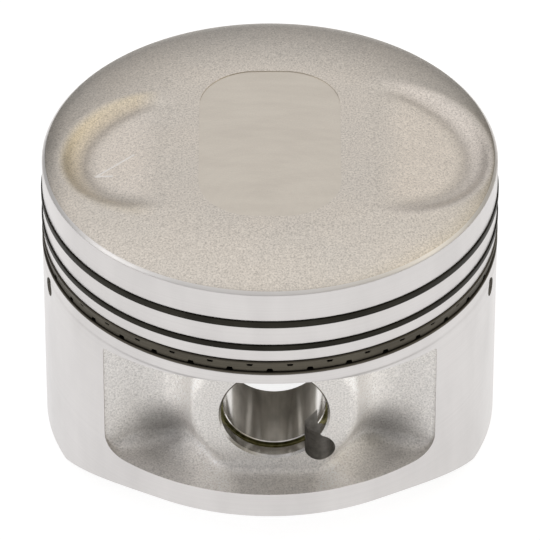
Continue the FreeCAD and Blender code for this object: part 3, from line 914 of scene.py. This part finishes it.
def crown_material():
    """The blasted crown with painted light: painted shade towards the rim over the back half, a
    painted warm reflection on the wall of the left relief and a painted cool one on the wall of
    the right relief, lighter towards their tops as painted highlight, painted shade along the
    foot of both, and the outer part of each relief floor made lighter."""
    shader, tone = cast_shader("blasted_crown", (0.70, 0.655, 0.59), (0.73, 0.675, 0.60),
                               3600.0, 0.00003, 0.23, 0.36)
    # Shares of the way across and back: 0.5 at the middle, and 0.1 more every 8 mm.
    across, back = shader.separate(shader.stretch((12.5, 12.5, 0.0), (0.5, 0.5, 0.0)))[:2]
    # Painted shade: darker towards the rim, over the back half of the crown only.
    rim = shader.ramp(shader.from_axis((0.0, 0.0, 0.0), (1, 1, 0)),
                      [(0.5, 1.0), (0.66, 0.9), (0.8, 0.75), (0.89, 0.62)])
    painted_shade_behind = shader.ramp(back, [(0.32, 0.0), (0.52, 1.0)])
    plain = (1.0, 1.0, 1.0)
    margin = shader.mix(painted_shade_behind, plain, rim)
    # Painted light on each relief wall: painted shade at its foot, a painted reflection on the
    # wall, warm on the left relief and cool on the right, and a painted highlight towards its top.
    for relief, foot_at, half_stops, foot, wall, top in (
        (RELIEFS[0], 0.31, [(0.235, 1.0), (0.285, 0.0)],
         (0.70, 0.68, 0.66), (0.92, 0.87, 0.77), (1.04, 0.99, 0.86)),
        (RELIEFS[1], 0.37, [(0.715, 0.0), (0.765, 1.0)],
         (0.80, 0.79, 0.79), (1.02, 1.01, 1.02), (1.10, 1.09, 1.10)),
    ):
        away = shader.from_axis((relief[0], relief[1], 0.0), (1, 1, 0))
        inside = shader.ramp(away, [(foot_at + 0.055, 1.0), (foot_at + 0.115, 0.0)])
        margin = shader.mix(inside, margin, plain)
        band = shader.ramp(away, [(foot_at - 0.035, 1.0), (foot_at, foot), (foot_at + 0.035, wall),
                                  (foot_at + 0.075, top), (foot_at + 0.11, 1.0)])
        front = shader.ramp(back, [(0.34, 0.35), (0.44, 1.0)])
        outer = shader.ramp(across, half_stops)
        # The outer part of the relief floor is made lighter.
        floor = shader.ramp(away, [(foot_at - 0.06, 1.0), (foot_at, 0.0)])
        floor = shader.multiply(floor, outer)
        margin = shader.mix(floor, margin, (1.2, 1.19, 1.19))
        half = shader.multiply(outer, front)
        margin = shader.mix(half, margin, shader.multiply(margin, band))
    shader.color(shader.multiply(tone, margin))
    return shader.material


def turned_material(name, color, metallic=1.0):
    """Fine-turned aluminium: bright, with faint lines round the piston."""
    shader = Shader(name, color, metallic, 0.3)
    lines = shader.noise(shader.stretch((6.0, 6.0, 5200.0)), 1.0, 3.0, 0.6)
    haze = shader.noise(shader.stretch((110.0, 110.0, 40.0)), 1.0, 4.0, 0.55)
    dull = tuple(part * 0.915 for part in color)
    tone = shader.mix(shader.ramp(haze, [(0.35, 0.0), (0.7, 1.0)]), color, dull)
    faint = shader.ramp(lines, [(0.3, 0.96), (0.7, 1.02)])
    shader.color(shader.multiply(tone, faint))
    shader.roughness(shader.span(haze, 0.24, 0.38))
    shader.bump(lines, 0.000006, 1.0)
    return shader.material


def milled_material():
    """The milled crown pad: smoother than the casting, with the cutter's faint arcs."""
    color = (0.72, 0.67, 0.59)
    shader = Shader("milled_aluminium", color, 1.0, 0.42)
    arcs = shader.add("TexWave")
    arcs.wave_type = "RINGS"
    arcs.rings_direction = "SPHERICAL"
    arcs.inputs["Scale"].default_value = 190.0
    arcs.inputs["Distortion"].default_value = 3.0
    arcs.inputs["Detail"].default_value = 4.0
    shader.link(shader.stretch((1.0, 1.0, 1.0), (0.001, 0.016, -CROWN_TOP * MM)),
                arcs.inputs["Vector"])
    fine = shader.noise(shader.place, 3800.0, 3.0, 0.6)
    stain = shader.noise(shader.stretch((120.0, 420.0, 120.0)), 1.0, 4.0, 0.6)
    tone = shader.ramp(stain, [(0.35, (0.685, 0.635, 0.56)), (0.6, color)])
    swirl = shader.ramp(arcs.outputs["Fac"], [(0.0, 0.992), (1.0, 1.004)])
    speck = shader.ramp(fine, [(0.3, 0.96), (0.7, 1.03)])
    tone = shader.multiply(tone, swirl)
    shader.color(shader.multiply(tone, speck))
    shader.roughness(shader.span(stain, 0.46, 0.38))
    first = shader.bump(arcs.outputs["Fac"], 0.000002, 0.4)
    shader.bump(fine, 0.000008, 0.6, first)
    return shader.material


def bore_material(name, light, dark, roughness):
    """Honed or reamed wall round the pin: glossy, with stains and streaks along the pin axis."""
    shader = Shader(name, light, 1.0, roughness)
    streaks = shader.noise(shader.stretch((700.0, 40.0, 700.0)), 1.0, 4.0, 0.6)
    stain = shader.noise(shader.stretch((260.0, 110.0, 260.0)), 1.0, 3.0, 0.6)
    middle = tuple((one + two) / 2 for one, two in zip(light, dark))
    tone = shader.ramp(streaks, [(0.3, dark), (0.46, middle), (0.62, light)])
    patch = shader.ramp(stain, [(0.35, 0.7), (0.6, 1.0)])
    shader.color(shader.multiply(tone, patch))
    shader.roughness(shader.span(streaks, roughness + 0.08, roughness - 0.04))
    shader.bump(streaks, 0.000008, 0.5)
    return shader.material


def oil_stain_and_painted_shade_material(name, dark, light, roughness):
    """Blotched darker machined metal: oil stain in the circlip grooves, and painted shade on the
    walls of the pin notches.
    """
    shader = Shader(name, light, 1.0, roughness)
    blot = shader.noise(shader.place, 900.0, 3.0, 0.6)
    shader.color(shader.ramp(blot, [(0.3, dark), (0.7, light)]))
    shader.roughness(shader.span(blot, roughness - 0.08, roughness + 0.1))
    shader.bump(blot, 0.00001, 0.6)
    return shader.material


def groove_material():
    """Ring groove walls and drillings: dull, a little stained."""
    color = (0.42, 0.40, 0.36)
    shader = Shader("groove_wall", color, 1.0, 0.5)
    lines = shader.noise(shader.stretch((60.0, 60.0, 3000.0)), 1.0, 3.0, 0.6)
    tone = shader.ramp(lines, [(0.35, (0.30, 0.28, 0.245)), (0.65, color)])
    shader.color(tone)
    shader.bump(lines, 0.00001, 0.5)
    return shader.material


def ring_material(name, color, light, roughness, metallic):
    """Phosphated iron or dark steel, with faint turning lines and worn patches."""
    shader = Shader(name, color, metallic, roughness)
    lines = shader.noise(shader.stretch((40.0, 40.0, 6000.0)), 1.0, 3.0, 0.6)
    patch = shader.noise(shader.stretch((150.0, 150.0, 150.0)), 1.0, 4.0, 0.6)
    tone = shader.mix(shader.ramp(patch, [(0.4, 0.0), (0.75, 1.0)]), color, light)
    faint = shader.ramp(lines, [(0.3, 0.8), (0.7, 1.1)])
    shader.color(shader.multiply(tone, faint))
    shader.roughness(shader.span(patch, roughness - 0.06, roughness + 0.1))
    shader.bump(lines, 0.000008, 0.6)
    return shader.material


def wire_material():
    """Drawn spring wire."""
    color = (0.36, 0.35, 0.33)
    shader = Shader("spring_wire", color, 1.0, 0.3)
    lines = shader.noise(shader.stretch((900.0, 900.0, 900.0)), 1.0, 3.0, 0.6)
    shader.color(shader.ramp(lines, [(0.3, (0.24, 0.23, 0.22)), (0.7, color)]))
    shader.roughness(shader.span(lines, 0.24, 0.38))
    shader.bump(lines, 0.00001, 0.5)
    return shader.material


# ---------------------------------------- studio

def make_floor():
    """A plain white light table."""
    half = 1.2
    mesh = bpy.data.meshes.new("floor")
    mesh.from_pydata([(-half, -half, 0), (half, -half, 0), (half, half, 0), (-half, half, 0)],
                     [], [(0, 1, 2, 3)])
    floor = bpy.data.objects.new("floor", mesh)
    bpy.context.scene.collection.objects.link(floor)
    material = bpy.data.materials.new("light_table")
    material.use_nodes = True
    surface = material.node_tree.nodes["Principled BSDF"]
    surface.inputs["Base Color"].default_value = (0.35, 0.35, 0.35, 1.0)
    surface.inputs["Roughness"].default_value = 0.9
    surface.inputs["Specular IOR Level"].default_value = 0.0
    surface.inputs["Emission Color"].default_value = (1.0, 1.0, 1.0, 1.0)
    surface.inputs["Emission Strength"].default_value = 0.84
    mesh.materials.append(material)
    floor.location.z = -0.00002


def make_light(name, place, aim, size, power, color=(1.0, 1.0, 1.0)):
    light = bpy.data.lights.new(name, "AREA")
    light.shape = "RECTANGLE"
    light.size, light.size_y = size
    light.energy = power
    light.color = color
    lamp = bpy.data.objects.new(name, light)
    bpy.context.scene.collection.objects.link(lamp)
    lamp.location = place
    lamp.rotation_euler = (Vector(aim) - Vector(place)).to_track_quat("-Z", "Y").to_euler()


def make_world():
    """A soft white room: bright overhead and at the back, dimmer at eye level and in front,
    with a cool wall on the left and a warm one on the right."""
    world = bpy.data.worlds.new("studio")
    world.use_nodes = True
    nodes = Nodes(world.node_tree)

    def share(value, low, high):
        node = nodes.add("MapRange")
        node.interpolation_type = "SMOOTHSTEP"
        node.inputs["From Min"].default_value = low
        node.inputs["From Max"].default_value = high
        nodes.link(value, node.inputs["Value"])
        return node.outputs["Result"]

    across, along, rise = nodes.separate(nodes.add("TexCoord").outputs["Generated"])
    back = nodes.ramp(rise, [(0.0, 0.3), (0.2, 0.5), (0.42, 0.8), (0.6, 0.9), (0.75, 0.78),
                             (1.0, 0.74)])
    side = nodes.ramp(rise, [(0.0, 0.2), (0.41, 0.26), (0.62, 0.92), (0.75, 0.9), (1.0, 0.8)])
    front = nodes.ramp(rise, [(0.0, 0.26), (0.5, 0.44), (0.85, 0.66), (1.0, 0.76)])
    sideways = nodes.add("Math", "ABSOLUTE")
    nodes.link(across, sideways.inputs[0])
    light = nodes.mix(share(sideways.outputs[0], 0.22, 0.5), back, side)
    light = nodes.mix(share(along, -0.05, -0.4), light, front)
    tint = nodes.mix(share(across, 0.15, 0.7), (1.0, 0.985, 0.99), (1.0, 0.935, 0.81))
    background = world.node_tree.nodes["Background"]
    nodes.link(nodes.multiply(light, tint), background.inputs["Color"])
    background.inputs["Strength"].default_value = 0.95
    bpy.context.scene.world = world


def make_studio():
    bpy.context.scene.view_settings.view_transform = "Standard"
    make_world()
    make_floor()
    middle = (0.0, 0.0, 0.03)
    make_light("top_softbox", (0.0, 0.25, 0.8), middle, (0.9, 0.6), 0.35)
    make_light("left_softbox", (-0.7, -0.1, 0.5), middle, (0.4, 0.4), 0.5, (1.0, 0.99, 1.0))
    make_light("right_softbox", (0.7, 0.0, 0.5), middle, (0.4, 0.4), 0.3, (1.0, 0.93, 0.8))


def make_camera():
    """A long lens from in front and above, looking at the middle of the piston."""
    distance, elevation = CAMERA_DISTANCE * SKIRT * MM, math.radians(CAMERA_ELEVATION)
    aim = Vector((AIM_RIGHT, 0.0, RIM - AIM_BELOW_RIM)) * MM
    camera = bpy.data.objects.new("camera", bpy.data.cameras.new("camera"))
    bpy.context.scene.collection.objects.link(camera)
    camera.data.sensor_width = 36.0
    camera.data.lens = CAMERA_LENS
    back = Vector((0.0, -math.cos(elevation), math.sin(elevation)))
    camera.location = aim + back * distance
    camera.rotation_euler = (-back).to_track_quat("-Z", "Y").to_euler()
    camera.data.clip_start = 0.01
    bpy.context.scene.camera = camera


# ---------------------------------------- put together

materials = {
    "cast_crown": crown_material(),
    "turned": turned_material("turned_aluminium", (0.66, 0.64, 0.632)),
    # A lighter, less metallic copy of the turned finish for the rim chamfer, as a painted
    # highlight.
    "rim_edge_highlight": turned_material("rim_edge_highlight", (0.86, 0.84, 0.82), 0.6),
    "groove": groove_material(),
    "milled": milled_material(),
    "bore": bore_material("honed_bore", (0.97, 0.945, 0.91), (0.74, 0.71, 0.675), 0.13),
    "entry": bore_material("reamed_entry", (0.78, 0.765, 0.74), (0.62, 0.60, 0.56), 0.24),
    "clip_groove": oil_stain_and_painted_shade_material("circlip_groove", (0.10, 0.09, 0.03), (0.30, 0.28, 0.14), 0.4),
    # Painted shade: the notch walls are darker than the bore round them.
    "notch": oil_stain_and_painted_shade_material("notch_wall_painted_shade", (0.38, 0.37, 0.35), (0.66, 0.64, 0.61), 0.4),
    "recess": recess_material(),
    "hollow": cast_material("cast_hollow", (0.60, 0.58, 0.55), (0.64, 0.62, 0.58),
                            3000.0, 0.00005, 0.22),
    # The engraved strokes are coloured near white and barely metallic, as a painted highlight.
    "mark": cast_material("engraved_mark", (0.93, 0.90, 0.86), (0.97, 0.94, 0.90),
                          4600.0, 0.00001, 0.05, 0.5, 0.2),
}
casting = make_casting([materials[name] for name in SLOTS])
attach(casting, "piston")
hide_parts("piston")

circlip = make_circlip(wire_material())
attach(circlip, "piston")
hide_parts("circlip")

ring_iron = ring_material("phosphated_iron", (0.026, 0.024, 0.019), (0.045, 0.042, 0.033),
                          0.5, 1.0)
rail_steel = ring_material("rail_steel", (0.085, 0.076, 0.06), (0.12, 0.108, 0.086), 0.4, 1.0)
expander_steel = ring_material("expander_steel", (0.10, 0.09, 0.072), (0.14, 0.127, 0.10),
                               0.5, 1.0)
for piece, node, body, slot_name in make_rings(ring_iron, rail_steel, expander_steel):
    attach(piece, body)
    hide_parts(node)

make_studio()
make_camera()
